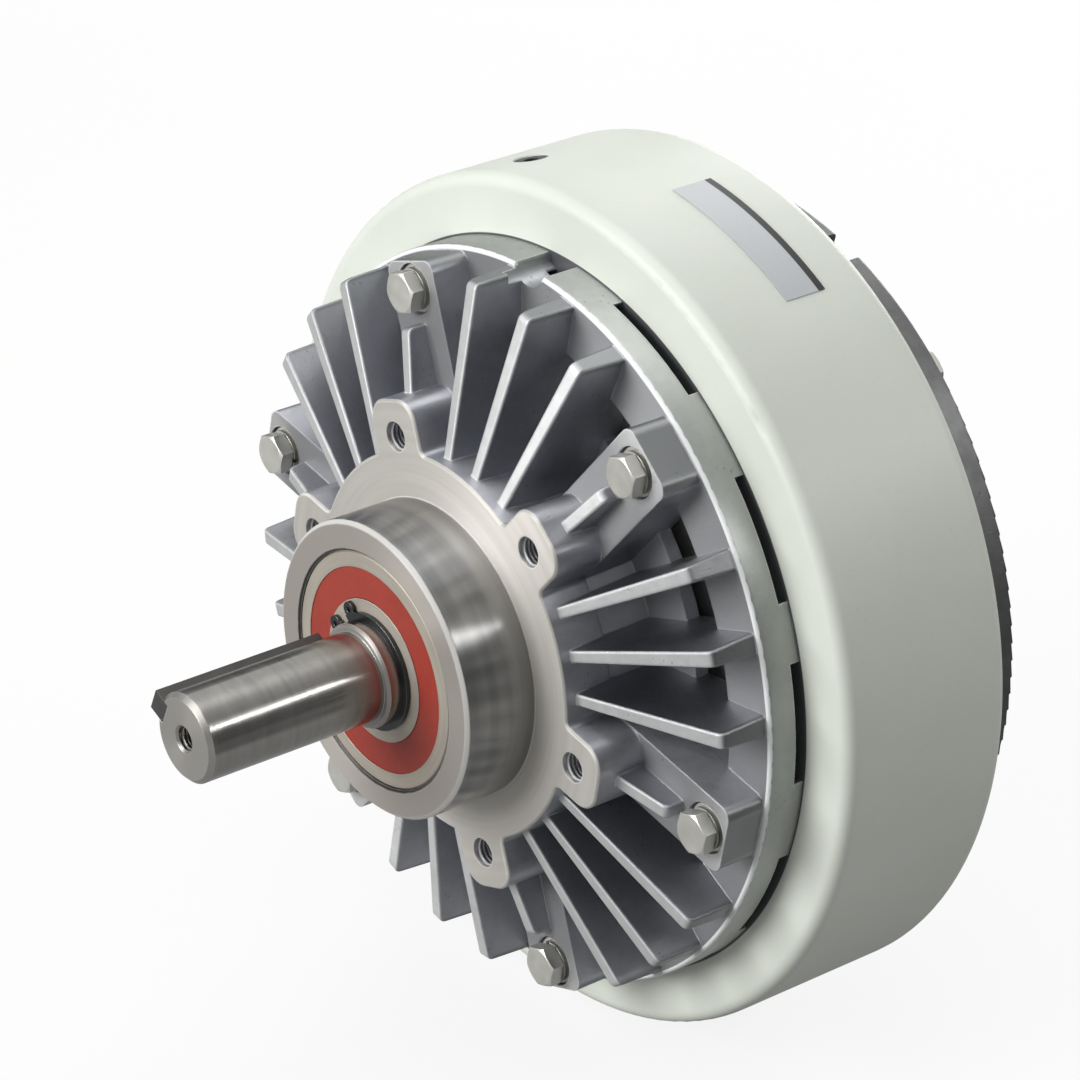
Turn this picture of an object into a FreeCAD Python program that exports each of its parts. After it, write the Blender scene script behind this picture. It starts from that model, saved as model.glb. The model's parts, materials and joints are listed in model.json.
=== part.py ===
import FreeCAD, Part
import math
import os

# Magnetic powder brake for flange mounting, with one solid output shaft end.
# The shaft axis is Y and the output end points to -Y, +Z is up.
# The origin is the centre of the mounting face, the front plane of the six lugs.
# Angles run from +Z towards +X, as seen from the output end. All lengths are millimetres.

# Clearances and allowances
fit_clearance = 0.02
assembly_clearance = 0.05
ball_clearance = 0.05
seal_clearance = 0.10
powder_clearance = 0.40
hole_clearance = 0.50

# Rotor
rotor_radius = 94.2
rotor_width = 51.5
rotor_rim_thickness = 14.0
rotor_web_thickness = 15.5
rotor_hub_radius = 34.0
rotor_hub_width = 36.0
rotor_hole_radius = 9.0
rotor_hole_count = 6
powder_width = 44.0

# Stator, outwards from the rotor
powder_gap = 1.8
pole_thickness = 8.0
coil_pocket_depth = 26.0
yoke_wall = 15.0
stator_length = 66.5
stator_edge_round = 4.5
cheek_thickness = 14.0
pole_gap = 14.0
bobbin_wall = 2.0
winding_margin = 1.4

# Shaft
output_radius = 15.0
output_length = 66.0
output_chamfer = 1.6
journal_radius = 17.5
shoulder_radius = 22.0
rotor_seat_radius = 20.0
shaft_tap_radius = 4.0
shaft_tap_depth = 22.0
shaft_tap_chamfer = 0.8
output_key_width = 8.0
output_key_height = 7.0
output_key_depth = 4.0
output_key_length = 62.0
output_key_angle = -66.0
rotor_key_width = 12.0
rotor_key_height = 8.0
rotor_key_depth = 5.0
rotor_key_length = 28.0

# Ball bearings, two alike
bearing_width = 21.0
bearing_outer_radius = 40.0
outer_ring_thickness = 6.0
inner_ring_thickness = 6.5
ball_radius = 6.747
ball_count = 8
seal_step = 0.6
seal_seat_depth = 1.7
seal_thickness = 1.2
seal_recess = 0.3
cage_thickness = 3.1
cage_width = 16.0
cage_pocket_clearance = 0.2
bearing_chamfer = 0.8

# Circlips on the shaft
circlip_thickness = 1.5
circlip_groove_depth = 1.0
circlip_width = 3.2
circlip_opening = 16.0
circlip_ear_radius = 2.6
circlip_ear_hole_radius = 1.0
circlip_angle = -47.0
circlip_to_shoulder = 5.2
shaft_rear_margin = 1.5

# Front end cap
mount_to_stator = 46.5
spigot_radius = 50.0
spigot_length = 27.0
spigot_chamfer = 1.2
bearing_recess = 0.7
bearing_wall = 9.0
flange_inside_holes = 4.9
flange_draft = 1.6
flange_chamfer = 0.7
hub_wall = 13.1
lug_count = 6
lug_angle = 41.5
lug_depth = 18.2
lug_end_width = 12.2
lug_half_width = 12.0
lug_corner = 8.0
lug_root_round = 2.5
lug_hole_circle = 70.0
lug_hole_radius = 5.0
lug_hole_depth = 20.0
arm_half_width = 12.3
arm_corner = 4.0
seat_depth = 3.0
seat_clearance = 0.5
rib_to_seat = 2.8
rim_from_bolts = 11.0
rim_wall = 5.0
rim_edge_round = 1.4
rim_edge_margin = 0.4
web_width = 19.3
web_height = 14.0
web_thickness = 4.5
window_width = 19.5
floor_height = 10.5
floor_thickness = 5.0
slot_height = 3.7
bolt_foot_half_angle = 6.8
mid_foot_half_angle = 4.4
lead_notch_angle = 2.2
lead_notch_radius = 7.5
lead_notch_depth = 5.8
lead_notch_wall = 4.0

# Cooling fins, on both caps
fins_between_arms = 3
fin_pitch = 12.5
fin_crest_width = 3.9
fin_draft = 0.055
fin_round = 0.8
fin_root_inset = 1.5
fin_root_drop = 4.2
fin_tip_drop = 15.5
fin_tip_inset = 2.3
fin_tip_round = 2.6

# Rear end cap
rear_hub_step = 2.0
rear_hub_height = 37.0
rear_hub_wall = 10.0
rear_rim_step = 2.2
rear_web_height = 19.7
rear_seat_depth = 2.4
rear_fin_tip_inset = 8.0
rear_fin_tip_rise = 1.8
rear_fin_root_drop = 6.0
rear_bearing_depth = 3.0
rear_notch_angle = 19.6
rear_notch_half_angle = 2.8

# Rear bearing cover
cover_edge_width = 6.5
cover_thickness = 5.0
cover_chamfer = 1.2
cover_lip_width = 7.0
cover_cavity_depth = 3.0
preload_washer_thickness = 1.0
preload_washer_width = 4.5
cover_screw_count = 6
screws_from_bearing = 7.5
cover_screw_radius = 2.5
cover_screw_length = 14.0
cover_screw_head_radius = 4.25
cover_screw_head_height = 5.0
cover_socket_width = 4.0
cover_socket_depth = 2.5

# Covers of the powder chamber
plate_thickness = 5.0
plate_ledge = 8.0
plate_bore_radius = 30.0
plate_boss_radius = 38.0
plate_boss_height = 8.0
powder_seal_width = 8.0
plate_screw_count = 6
plate_screw_radius = 2.0
plate_screw_head_radius = 3.7
plate_screw_head_height = 1.9
plate_screw_length = 12.0

# Hexagon bolts that hold the caps on the stator
bolts_from_plate = 9.8
bolt_radius = 4.0
bolt_across_flats = 13.0
bolt_head_height = 5.3
bolt_face_radius = 6.2
bolt_bevel_run = 2.0
bolt_collar_height = 0.6
bolt_collar_radius = 6.0
bolt_tap_margin = 1.5
plain_washer_radius = 8.0
plain_washer_thickness = 1.6
spring_washer_radius = 7.0
spring_washer_thickness = 2.1
spring_washer_gap = 1.6

# Name plate and lead outlet on the stator
nameplate_thickness = 0.3
nameplate_width = 15.6
nameplate_start_angle = 7.3
nameplate_end_angle = 30.6
nameplate_from_front = 32.7
grommet_angle = -15.5
grommet_from_front = 21.0
grommet_hole_radius = 6.0
grommet_recess = 0.6
grommet_bore_radius = 2.5

# Places along the axis, worked out from the sizes above
stator_front = mount_to_stator
stator_rear = stator_front + stator_length
stator_middle = (stator_front + stator_rear) / 2
nose_face = -spigot_length
front_bearing_front = nose_face + bearing_recess
front_bearing_rear = front_bearing_front + bearing_width
journal_front = front_bearing_front - circlip_thickness - circlip_to_shoulder
shaft_front = journal_front - output_length
rotor_hub_front = stator_middle - rotor_hub_width / 2
rotor_hub_rear = stator_middle + rotor_hub_width / 2
rear_hub_face = stator_rear + rear_hub_height
rear_bearing_rear = rear_hub_face - rear_bearing_depth
rear_bearing_front = rear_bearing_rear - bearing_width
shaft_rear = rear_bearing_rear + circlip_thickness + shaft_rear_margin

# Radii worked out from the sizes above
bore_radius = rotor_radius + powder_gap
pocket_inner = bore_radius + pole_thickness
pocket_outer = pocket_inner + coil_pocket_depth
stator_radius = pocket_outer + yoke_wall
plate_radius = bore_radius + plate_ledge
plate_screw_circle = bore_radius + plate_ledge / 2
bolt_circle = plate_radius + bolts_from_plate
rim_radius = bolt_circle + rim_from_bolts
rear_rim_radius = rim_radius + rear_rim_step
web_inner_radius = rim_radius - web_width
floor_outer_radius = web_inner_radius - window_width
lead_notch_centre = rim_radius - lead_notch_depth + lead_notch_radius
seat_radius = plain_washer_radius + seat_clearance
rib_end_radius = bolt_circle - seat_radius - rib_to_seat
flange_radius = lug_hole_circle - flange_inside_holes
lug_outer_radius = lug_hole_circle + lug_end_width
hub_cavity_radius = flange_radius - hub_wall
outer_race_radius = bearing_outer_radius - outer_ring_thickness
inner_race_radius = journal_radius + inner_ring_thickness
ball_circle_radius = (journal_radius + bearing_outer_radius) / 2
seal_seat_radius = outer_race_radius + seal_step
cover_screw_circle = bearing_outer_radius + screws_from_bearing
cover_radius = cover_screw_circle + cover_edge_width
rear_hub_radius = cover_radius + rear_hub_step
rear_cavity_radius = rear_hub_radius - rear_hub_wall
fin_root_radius = flange_radius - fin_root_inset
rotor_hole_circle = (rotor_hub_radius + rotor_radius - rotor_rim_thickness) / 2
groove_radius = journal_radius - circlip_groove_depth
washer_hole_radius = bolt_radius + hole_clearance / 2

# Heights above the stator's end faces, worked out from the sizes above
arm_height = mount_to_stator - lug_depth
fin_root_height = mount_to_stator - fin_root_drop
fin_tip_height = mount_to_stator - fin_tip_drop
rear_fin_root_height = rear_hub_height - rear_fin_root_drop
rear_fin_tip_height = rear_web_height + rear_fin_tip_rise
bolt_engagement = cheek_thickness - 2 * bolt_tap_margin

# Angle of the first fin after each arm; the screws of the chamber covers lie under these fins
first_fin_angle = lug_angle + 180.0 / lug_count - (fins_between_arms - 1) * fin_pitch / 2

V = FreeCAD.Vector
ORIGIN = V(0, 0, 0)
AXIS = V(0, 1, 0)


# Helpers: a profile point is (radius, y), and a flat outline point is (across, radius).
def revolve(profile, angle=360.0):
    points = [V(0, y, radius) for radius, y in profile]
    face = Part.Face(Part.makePolygon(points + [points[0]]))
    solid = Part.Solid(face.revolve(ORIGIN, AXIS, angle))
    if solid.Volume < 0:
        solid.reverse()
    return solid


def ring(inner, outer, start, end):
    return revolve([(inner, start), (outer, start), (outer, end), (inner, end)])


def rod(radius, start, end, at_radius=0.0):
    return Part.makeCylinder(radius, end - start, V(0, start, at_radius), AXIS)


def turned(shape, angle):
    copy = shape.copy()
    copy.rotate(ORIGIN, AXIS, angle)
    return copy


def around(shape, count, start=0.0):
    return [turned(shape, start + index * 360.0 / count) for index in range(count)]


def bar(half_width, inner, outer, start, end, corner=0.0):
    box = Part.makeBox(2 * half_width, end - start, outer - inner, V(-half_width, start, inner))
    if corner <= 0:
        return box
    corners = [edge for edge in box.Edges if is_along_axis(edge) and edge.CenterOfMass.z > inner + corner]
    return box.makeFillet(corner, corners)


def sector(inner, outer, start, end, middle_angle, half_angle):
    whole = revolve([(inner, start), (outer, start), (outer, end), (inner, end)], 2 * half_angle)
    return turned(whole, middle_angle - half_angle)


def is_along_axis(edge):
    if not isinstance(edge.Curve, Part.Line):
        return False
    return abs(abs(edge.tangentAt(edge.FirstParameter).y) - 1) < 1e-6


def circle_edges(shape, radius, y):
    found = []
    for edge in shape.Edges:
        if isinstance(edge.Curve, Part.Circle):
            same_size = abs(edge.Curve.Radius - radius) < 1e-4
            if same_size and abs(edge.CenterOfMass.y - y) < 1e-4:
                found.append(edge)
    return found


def hexagon(across_flats, start, end, at_radius):
    corner = across_flats / math.sqrt(3)
    points = []
    for index in range(7):
        angle = math.radians(60 * index)
        points.append(V(corner * math.cos(angle), start, at_radius + corner * math.sin(angle)))
    return Part.Face(Part.makePolygon(points)).extrude(V(0, end - start, 0))


def group(solids):
    return Part.makeCompound(solids)


# End caps. A height is measured from the stator's end face, outwards along the axis.
class Cap:
    def __init__(self, stator_face, outward, rim, web, arm, seat, fin_tip, fin_tip_top, fin_root):
        self.face = stator_face
        self.outward = outward
        self.rim = rim
        self.foot = rim - rim_edge_round - rim_edge_margin
        self.web = web
        self.arm = arm
        self.seat = seat
        self.fin_tip = fin_tip
        self.fin_tip_top = fin_tip_top
        self.fin_root = fin_root

    def y(self, height):
        return self.face + self.outward * height

    def profile(self, points):
        return revolve([(radius, self.y(height)) for radius, height in points])

    def span(self, low, high):
        return sorted((self.y(low), self.y(high)))

    def bar(self, half_width, inner, outer, low, high, corner=0.0):
        start, end = self.span(low, high)
        return bar(half_width, inner, outer, start, end, corner)

    def rod(self, radius, low, high, at_radius=0.0):
        start, end = self.span(low, high)
        return rod(radius, start, end, at_radius)

    def sector(self, inner, outer, low, high, middle, half):
        start, end = self.span(low, high)
        return sector(inner, outer, start, end, middle, half)


front_cap = Cap(stator_front, -1, rim_radius, web_height, arm_height, arm_height - seat_depth,
                rim_radius - fin_tip_inset, fin_tip_height, fin_root_height)
rear_cap = Cap(stator_rear, 1, rear_rim_radius, rear_web_height, rear_web_height,
               rear_web_height - rear_seat_depth, rear_rim_radius - rear_fin_tip_inset,
               rear_fin_tip_height, rear_fin_root_height)


def fin_crest(cap, radius):
    slope = (cap.fin_tip_top - cap.fin_root) / (cap.fin_tip - fin_root_radius)
    return cap.fin_root + slope * (radius - fin_root_radius)


def fin_blank(cap, tip, foot, root):
    low = floor_height - floor_thickness
    shelf = cap.web - web_thickness / 2
    inner_end = web_inner_radius + web_thickness / 2
    outline = [(root, low), (root, fin_crest(cap, root)), (tip, fin_crest(cap, tip))]
    outline += [(foot, shelf), (inner_end, shelf), (inner_end, low)]
    points = [V(0, cap.y(height), radius) for radius, height in outline]
    face = Part.Face(Part.makePolygon(points + [points[0]]))
    half = 2 * fin_crest_width
    blank = face.extrude(V(2 * half, 0, 0))
    blank.translate(V(-half, 0, 0))
    return blank


def fin_wedge(cap):
    top = cap.fin_root + fin_crest_width
    low = floor_height - floor_thickness
    half_top = fin_crest_width / 2 - fin_draft * (top - cap.fin_root)
    half_low = fin_crest_width / 2 + fin_draft * (cap.fin_root - low)
    corners = [(-half_low, low), (half_low, low), (half_top, top), (-half_top, top)]
    points = [V(across, cap.y(height), 0) for across, height in corners]
    face = Part.Face(Part.makePolygon(points + [points[0]]))
    return face.extrude(V(0, 0, cap.rim))


def rounded_tip(cap, blank, tip):
    tip_y = cap.y(fin_crest(cap, tip))
    edges = []
    for edge in blank.Edges:
        middle = edge.CenterOfMass
        if abs(middle.z - tip) < 1e-3 and abs(middle.y - tip_y) < 1e-3:
            edges.append(edge)
    return blank.makeFillet(fin_tip_round, edges)


def crest_edges(cap, fin, foot):
    shelf_y = cap.y(cap.web)
    edges = []
    for edge in fin.Edges:
        middle = edge.valueAt((edge.FirstParameter + edge.LastParameter) / 2)
        ends = [vertex.Point for vertex in edge.Vertexes]
        runs_across = abs(ends[0].x - ends[-1].x) > fin_crest_width / 2
        proud = (middle.y - shelf_y) * cap.outward > 0
        near_crest = abs(cap.outward * (middle.y - cap.y(fin_crest(cap, middle.z)))) < fin_tip_round
        outer_edge = middle.z > foot - 2 * fin_tip_round
        if proud and not runs_across and (near_crest or outer_edge):
            edges.append(edge)
    return edges


def fin(cap, foot, root):
    blank = rounded_tip(cap, fin_blank(cap, cap.fin_tip, foot, root), cap.fin_tip)
    plate = blank.common(fin_wedge(cap))
    return plate.makeFillet(fin_round, crest_edges(cap, plate, foot))


def arm_rib(cap, root):
    blank = rounded_tip(cap, fin_blank(cap, rib_end_radius, rib_end_radius, root), rib_end_radius)
    plate = blank.common(fin_wedge(cap))
    return plate.makeFillet(fin_round, crest_edges(cap, plate, rib_end_radius))


def bolt_arm(cap, root):
    body = cap.bar(arm_half_width, root, cap.foot, floor_height - floor_thickness, cap.arm, arm_corner)
    pad = cap.bar(arm_half_width, web_inner_radius - web_thickness, cap.foot, 0, floor_height, arm_corner)
    return body.fuse(pad)


def cooling_parts(cap, root):
    parts = around(bolt_arm(cap, root), lug_count, lug_angle)
    parts += around(arm_rib(cap, root), lug_count, lug_angle)
    blade = fin(cap, cap.foot, root)
    for index in range(fins_between_arms):
        parts += around(blade, lug_count, first_fin_angle + index * fin_pitch)
    return parts


def rim_ring(cap):
    wall_inner = cap.rim - rim_wall
    low = cap.web - web_thickness
    rim = cap.profile([(wall_inner, 0), (cap.rim, 0), (cap.rim, cap.web), (web_inner_radius, cap.web),
                       (web_inner_radius, low), (wall_inner, low)])
    return rim.makeFillet(rim_edge_round, circle_edges(rim, cap.rim, cap.y(cap.web)))


def vent_slots(cap, notch_angle):
    feet_pitch = 360.0 / lug_count / 2
    half = (feet_pitch - bolt_foot_half_angle - mid_foot_half_angle) / 2
    inner = cap.rim - 2 * rim_wall
    outer = cap.rim + rim_wall
    cuts = []
    for index in range(lug_count):
        arm_angle = lug_angle + index * 2 * feet_pitch
        for side in (-1, 1):
            middle = arm_angle + side * (bolt_foot_half_angle + half)
            from_notch = abs((middle - notch_angle + 180) % 360 - 180)
            if from_notch > half:
                cuts.append(cap.sector(inner, outer, -rim_wall, slot_height, middle, half))
    return cuts


def bolt_seats(cap):
    seat = cap.rod(seat_radius, cap.seat, cap.arm + fin_root_height, bolt_circle)
    hole = cap.rod(bolt_radius + hole_clearance, -rim_wall, cap.arm, bolt_circle)
    return around(seat, lug_count, lug_angle) + around(hole, lug_count, lug_angle)


def lug_flange():
    disc = rod(flange_radius, 0, lug_depth)
    lug = bar(lug_half_width, flange_radius / 2, lug_outer_radius, 0, lug_depth, lug_corner)
    flange = disc.multiFuse(around(lug, lug_count, lug_angle)).removeSplitter()
    inner_corners = []
    for edge in flange.Edges:
        middle = edge.CenterOfMass
        at_disc = abs(math.hypot(middle.x, middle.z) - flange_radius) < 1e-3
        if is_along_axis(edge) and at_disc:
            inner_corners.append(edge)
    flange = flange.makeFillet(lug_root_round, inner_corners)
    front_edges = [edge for edge in flange.Edges if edge.BoundBox.YMax < 1e-6]
    return flange.makeChamfer(flange_chamfer, front_edges)


def front_hub():
    floor_front = stator_front - floor_height
    floor_back = floor_front + floor_thickness
    shelf_end = front_bearing_rear + bearing_wall
    seat = bearing_outer_radius + fit_clearance
    profile = [(spigot_radius - spigot_chamfer, nose_face), (spigot_radius, nose_face + spigot_chamfer)]
    profile += [(spigot_radius, 0), (flange_radius - 2 * flange_chamfer, 0)]
    profile += [(flange_radius - flange_chamfer, flange_chamfer)]
    profile += [(flange_radius - flange_chamfer, lug_depth)]
    profile += [(flange_radius + flange_draft, floor_front)]
    profile += [(floor_outer_radius, floor_front), (floor_outer_radius, floor_back)]
    profile += [(hub_cavity_radius, floor_back), (hub_cavity_radius, shelf_end)]
    profile += [(outer_race_radius, shelf_end), (outer_race_radius, front_bearing_rear)]
    profile += [(seat, front_bearing_rear), (seat, nose_face + bearing_chamfer)]
    profile += [(seat + bearing_chamfer, nose_face)]
    return revolve(profile)


def lead_notch_pad():
    pad = front_cap.rod(lead_notch_radius + lead_notch_wall, slot_height, web_height - rim_edge_round,
                        lead_notch_centre)
    inside_rim = front_cap.rod(rim_radius, 0, web_height)
    return turned(pad.common(inside_rim), lead_notch_angle)


def lead_notch():
    scoop = front_cap.rod(lead_notch_radius, -rim_wall, web_height + rim_wall, lead_notch_centre)
    return turned(scoop, lead_notch_angle)


def lug_holes():
    return around(rod(lug_hole_radius, -1, lug_hole_depth, lug_hole_circle), lug_count, lug_angle)


def make_front_end_cap():
    bearing_space = rod(flange_radius - 2 * flange_chamfer, -spigot_length, mount_to_stator)
    flange = lug_flange().cut(bearing_space)
    parts = [rim_ring(front_cap), flange, lead_notch_pad()]
    parts += cooling_parts(front_cap, hub_cavity_radius + bearing_wall)
    body = front_hub().multiFuse(parts)
    cuts = vent_slots(front_cap, lead_notch_angle)
    cuts.append(lead_notch())
    cuts += bolt_seats(front_cap)
    cuts += lug_holes()
    return body.cut(cuts).removeSplitter()


def rear_hub():
    floor_low = rear_cap.y(floor_height - floor_thickness)
    floor_high = rear_cap.y(floor_height)
    seat = bearing_outer_radius + fit_clearance
    profile = [(outer_race_radius, rear_bearing_front), (seat, rear_bearing_front)]
    profile += [(seat, rear_hub_face), (rear_hub_radius - spigot_chamfer, rear_hub_face)]
    profile += [(rear_hub_radius, rear_hub_face - spigot_chamfer)]
    profile += [(rear_hub_radius + flange_draft, floor_high)]
    profile += [(floor_outer_radius, floor_high), (floor_outer_radius, floor_low)]
    shelf_start = rear_bearing_front - bearing_wall / 2
    profile += [(rear_cavity_radius, floor_low), (rear_cavity_radius, shelf_start)]
    profile += [(outer_race_radius, shelf_start)]
    return revolve(profile)


def make_rear_end_cap():
    parts = [rim_ring(rear_cap)] + cooling_parts(rear_cap, rear_hub_radius - rear_hub_wall / 2)
    bore = rod(bearing_outer_radius + bearing_wall / 2, stator_rear, rear_hub_face)
    body = rear_hub().multiFuse([part.cut(bore) for part in parts])
    cuts = vent_slots(rear_cap, rear_notch_angle)
    cuts.append(rear_cap.sector(rear_rim_radius - 2 * rim_wall, rear_rim_radius + rim_wall, -rim_wall,
                                rear_web_height + rim_wall, rear_notch_angle, rear_notch_half_angle))
    cuts += bolt_seats(rear_cap)
    hole_end = rear_hub_face - cover_screw_length
    screw_hole = rod(cover_screw_radius, hole_end, rear_hub_face, cover_screw_circle)
    cuts += around(screw_hole, cover_screw_count)
    return body.cut(cuts).removeSplitter()


# Stator and coil
def bolt_taps(face_y, inward):
    depth = bolt_engagement + bolt_tap_margin
    start, end = sorted((face_y, face_y + inward * depth))
    return around(rod(bolt_radius, start, end, bolt_circle), lug_count, lug_angle)


def plate_taps(face_y, inward):
    depth = plate_screw_length + plate_screw_head_height + bolt_tap_margin
    start, end = sorted((face_y, face_y + inward * depth))
    tap = rod(plate_screw_radius, start, end, plate_screw_circle)
    return around(tap, plate_screw_count, first_fin_angle)


def make_stator_housing():
    recess = plate_radius + fit_clearance
    ledge = stator_front + plate_thickness
    pocket_front = stator_front + cheek_thickness
    pole_end = stator_middle - pole_gap / 2
    profile = [(recess, stator_front), (stator_radius, stator_front), (stator_radius, stator_rear)]
    profile += [(pocket_outer, stator_rear), (pocket_outer, pocket_front), (pocket_inner, pocket_front)]
    profile += [(pocket_inner, pole_end), (bore_radius, pole_end), (bore_radius, ledge), (recess, ledge)]
    body = revolve(profile)
    rims = circle_edges(body, stator_radius, stator_front)
    rims += circle_edges(body, stator_radius, stator_rear)
    body = body.makeFillet(stator_edge_round, rims)
    cuts = bolt_taps(stator_front, 1) + plate_taps(stator_front, 1)
    outlet_start = V(0, stator_front + grommet_from_front, pocket_outer - yoke_wall / 2)
    outlet = Part.makeCylinder(grommet_hole_radius, 2 * yoke_wall, outlet_start, V(0, 0, 1))
    cuts.append(turned(outlet, grommet_angle))
    return body.cut(cuts)


def make_stator_rear_yoke():
    recess = plate_radius + fit_clearance
    ledge = stator_rear - plate_thickness
    cheek_front = stator_rear - cheek_thickness
    pole_start = stator_middle + pole_gap / 2
    outer = pocket_outer - assembly_clearance
    profile = [(recess, stator_rear), (outer, stator_rear), (outer, cheek_front)]
    profile += [(pocket_inner, cheek_front), (pocket_inner, pole_start), (bore_radius, pole_start)]
    profile += [(bore_radius, ledge), (recess, ledge)]
    return revolve(profile).cut(bolt_taps(stator_rear, -1) + plate_taps(stator_rear, -1))


def make_separator_ring():
    return ring(bore_radius, pocket_inner, stator_middle - pole_gap / 2, stator_middle + pole_gap / 2)


def bobbin_space():
    inner = pocket_inner + 5 * assembly_clearance
    outer = pocket_outer - 5 * assembly_clearance
    return inner, outer, stator_front + cheek_thickness, stator_rear - cheek_thickness


def make_coil_bobbin():
    inner, outer, start, end = bobbin_space()
    floor = inner + bobbin_wall
    profile = [(inner, start), (outer, start), (outer, start + bobbin_wall), (floor, start + bobbin_wall)]
    profile += [(floor, end - bobbin_wall), (outer, end - bobbin_wall), (outer, end), (inner, end)]
    return revolve(profile)


def make_field_coil():
    inner, outer, start, end = bobbin_space()
    return ring(inner + bobbin_wall + assembly_clearance, outer - winding_margin,
                start + bobbin_wall + assembly_clearance, end - bobbin_wall - assembly_clearance)


def make_lead_grommet():
    inner_end = V(0, stator_front + grommet_from_front, pocket_outer + assembly_clearance)
    length = yoke_wall - grommet_recess
    bush = Part.makeCylinder(grommet_hole_radius - assembly_clearance, length, inner_end, V(0, 0, 1))
    bore = Part.makeCylinder(grommet_bore_radius, length, inner_end, V(0, 0, 1))
    return turned(bush.cut(bore), grommet_angle)


def make_nameplate():
    start = stator_front + nameplate_from_front
    inner = stator_radius + assembly_clearance
    half = (nameplate_end_angle - nameplate_start_angle) / 2
    return sector(inner, inner + nameplate_thickness, start, start + nameplate_width,
                  nameplate_start_angle + half, half)


# Powder chamber
def chamber_plate(face_y, outward):
    inner_face = face_y - outward * plate_thickness
    boss_end = face_y + outward * plate_boss_height
    seal_shelf = boss_end - outward * (powder_seal_width + fit_clearance)
    lip = shoulder_radius + 10 * seal_clearance
    profile = [(lip, inner_face), (plate_radius, inner_face), (plate_radius, face_y)]
    profile += [(plate_boss_radius, face_y), (plate_boss_radius, boss_end), (plate_bore_radius, boss_end)]
    profile += [(plate_bore_radius, seal_shelf), (lip, seal_shelf)]
    start, end = sorted((inner_face, face_y))
    hole = rod(plate_screw_radius + hole_clearance / 2, start, end, plate_screw_circle)
    sink_start = face_y - outward * plate_screw_head_height
    sink = Part.makeCone(plate_screw_radius, plate_screw_head_radius + fit_clearance,
                         plate_screw_head_height, V(0, sink_start, plate_screw_circle), V(0, outward, 0))
    holes = around(hole.fuse(sink), plate_screw_count, first_fin_angle)
    return revolve(profile).cut(holes)


def powder_seal(face_y, outward):
    boss_end = face_y + outward * plate_boss_height
    start, end = sorted((boss_end, boss_end - outward * powder_seal_width))
    return ring(shoulder_radius + seal_clearance, plate_bore_radius - fit_clearance, start, end)


def plate_screws(face_y, outward):
    head_base = face_y - outward * plate_screw_head_height
    tip = face_y - outward * (plate_screw_length + plate_screw_head_height)
    neck = plate_screw_radius - assembly_clearance
    head = Part.makeCone(neck, plate_screw_head_radius - assembly_clearance, plate_screw_head_height,
                         V(0, head_base, plate_screw_circle), V(0, outward, 0))
    start, end = sorted((tip, head_base))
    shank = rod(neck, start, end, plate_screw_circle)
    screw = head.fuse(shank).removeSplitter()
    return group(around(screw, plate_screw_count, first_fin_angle))


def make_magnetic_powder():
    return ring(rotor_radius + powder_clearance, bore_radius - assembly_clearance,
                stator_middle - powder_width / 2, stator_middle + powder_width / 2)


# Rotating parts
def key_block(width, height, depth, shaft_radius, start, length, clearance):
    bottom = shaft_radius - depth
    half = width / 2 - clearance
    return bar(half, bottom + clearance, bottom + height, start + clearance, start + length - clearance)


def keyway(width, depth, shaft_radius, start, length):
    return bar(width / 2, shaft_radius - depth, 2 * shaft_radius, start, start + length)


def make_shaft():
    circlip_front = front_bearing_front - circlip_thickness
    rear_clip_end = rear_bearing_rear + circlip_thickness
    seat_end = rotor_hub_rear - 1
    profile = [(0, shaft_front), (output_radius - output_chamfer, shaft_front)]
    profile += [(output_radius, shaft_front + output_chamfer), (output_radius, journal_front)]
    profile += [(journal_radius - bearing_chamfer, journal_front)]
    profile += [(journal_radius, journal_front + bearing_chamfer), (journal_radius, circlip_front)]
    profile += [(groove_radius, circlip_front), (groove_radius, front_bearing_front)]
    profile += [(journal_radius, front_bearing_front), (journal_radius, front_bearing_rear)]
    profile += [(shoulder_radius, front_bearing_rear), (shoulder_radius, rotor_hub_front)]
    profile += [(rotor_seat_radius, rotor_hub_front), (rotor_seat_radius, seat_end)]
    profile += [(journal_radius, seat_end), (journal_radius, rear_bearing_rear)]
    profile += [(groove_radius, rear_bearing_rear), (groove_radius, rear_clip_end)]
    profile += [(journal_radius, rear_clip_end), (journal_radius, shaft_rear - bearing_chamfer)]
    profile += [(journal_radius - bearing_chamfer, shaft_rear), (0, shaft_rear)]
    body = revolve(profile)
    tap_end = shaft_front + shaft_tap_depth
    tap = rod(shaft_tap_radius, shaft_front, tap_end)
    point = Part.makeCone(shaft_tap_radius, 0, shaft_tap_radius / 2, V(0, tap_end, 0), AXIS)
    mouth = Part.makeCone(shaft_tap_radius + shaft_tap_chamfer, shaft_tap_radius, shaft_tap_chamfer,
                          V(0, shaft_front, 0), AXIS)
    slot = keyway(output_key_width, output_key_depth, output_radius, shaft_front, output_key_length)
    rotor_slot = keyway(rotor_key_width, rotor_key_depth, rotor_seat_radius,
                        stator_middle - rotor_key_length / 2, rotor_key_length)
    cuts = [tap, point, mouth, turned(slot, output_key_angle), turned(rotor_slot, output_key_angle)]
    return body.cut(cuts)


def make_output_key():
    key = key_block(output_key_width, output_key_height, output_key_depth, output_radius, shaft_front,
                    output_key_length, fit_clearance)
    return turned(key, output_key_angle)


def make_rotor_key():
    key = key_block(rotor_key_width, rotor_key_height, rotor_key_depth, rotor_seat_radius,
                    stator_middle - rotor_key_length / 2, rotor_key_length, fit_clearance)
    return turned(key, output_key_angle)


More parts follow.
